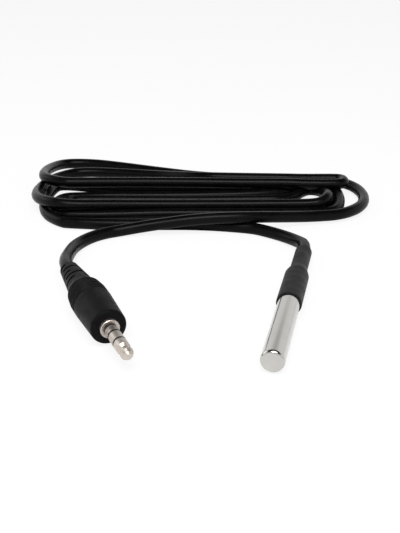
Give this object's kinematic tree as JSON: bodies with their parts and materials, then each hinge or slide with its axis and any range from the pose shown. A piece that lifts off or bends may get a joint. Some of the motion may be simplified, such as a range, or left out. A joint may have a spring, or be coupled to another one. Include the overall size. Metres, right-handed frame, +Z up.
{
  "type": "temperature sensor",
  "caption": "Round steel temperature probe with a shrink sleeve, on a thin black cable wound in a flat hank and ending in a small round audio-type plug.",
  "frame": {"origin": "bottom centre of the probe's bounding box (sheath and shrink sleeve), on the surface that the sensor lies on", "axes": "+Y along the probe from its closed end to its cable, +Z up, +X to the right when looking from the closed end along the probe"},
  "size_m": [0.1326, 0.1519, 0.0105],
  "materials": {
    "sheath_steel": "satin drawn stainless tube",
    "shrink_tubing": "matt black heat-shrunk tubing",
    "chip_body": "moulded epoxy",
    "tinned_wire": "tinned",
    "solder": "bright solder",
    "leg_tubing": "thin insulating tubing",
    "core_red": "red core insulation",
    "core_yellow": "yellow core insulation",
    "core_black": "black core insulation",
    "potting_resin": "cast epoxy",
    "cable_jacket": "satin black flexible PVC",
    "clamp_brass": "plain",
    "inner_mould_plastic": "natural moulded plastic",
    "overmould_plastic": "satin black moulded PVC",
    "contact_metal": "nickel plated, turned",
    "insulator_plastic": "black moulded insulator"
  },
  "bodies": {
    "root": {"sheath_tube": "sheath_steel", "shrink_sleeve": "shrink_tubing", "sensing_chip": "chip_body", "chip_leg_1": "tinned_wire", "chip_leg_2": "tinned_wire", "chip_leg_3": "tinned_wire", "solder_joint_1": "solder", "solder_joint_2": "solder", "solder_joint_3": "solder", "leg_sleeve_1": "leg_tubing", "leg_sleeve_2": "leg_tubing", "leg_sleeve_3": "leg_tubing", "probe_core_1": "core_red", "probe_core_2": "core_yellow", "probe_core_3": "core_black", "tip_potting": "potting_resin", "mouth_potting": "potting_resin", "probe_cable_end": "cable_jacket", "cord_to_probe": "cable_jacket", "cord_hank": "cable_jacket", "cord_to_plug": "cable_jacket", "plug_cable_end": "cable_jacket", "plug_cable_clamp": "clamp_brass", "plug_core_1": "core_red", "plug_core_2": "core_yellow", "plug_core_3": "core_black", "plug_inner_mould": "inner_mould_plastic", "plug_overmould": "overmould_plastic", "plug_collar": "contact_metal", "plug_insulator_rear": "insulator_plastic", "plug_ring_rear": "contact_metal", "plug_insulator_middle": "insulator_plastic", "plug_ring_front": "contact_metal", "plug_insulator_front": "insulator_plastic", "plug_tip": "contact_metal"}
  },
  "joints": []
}
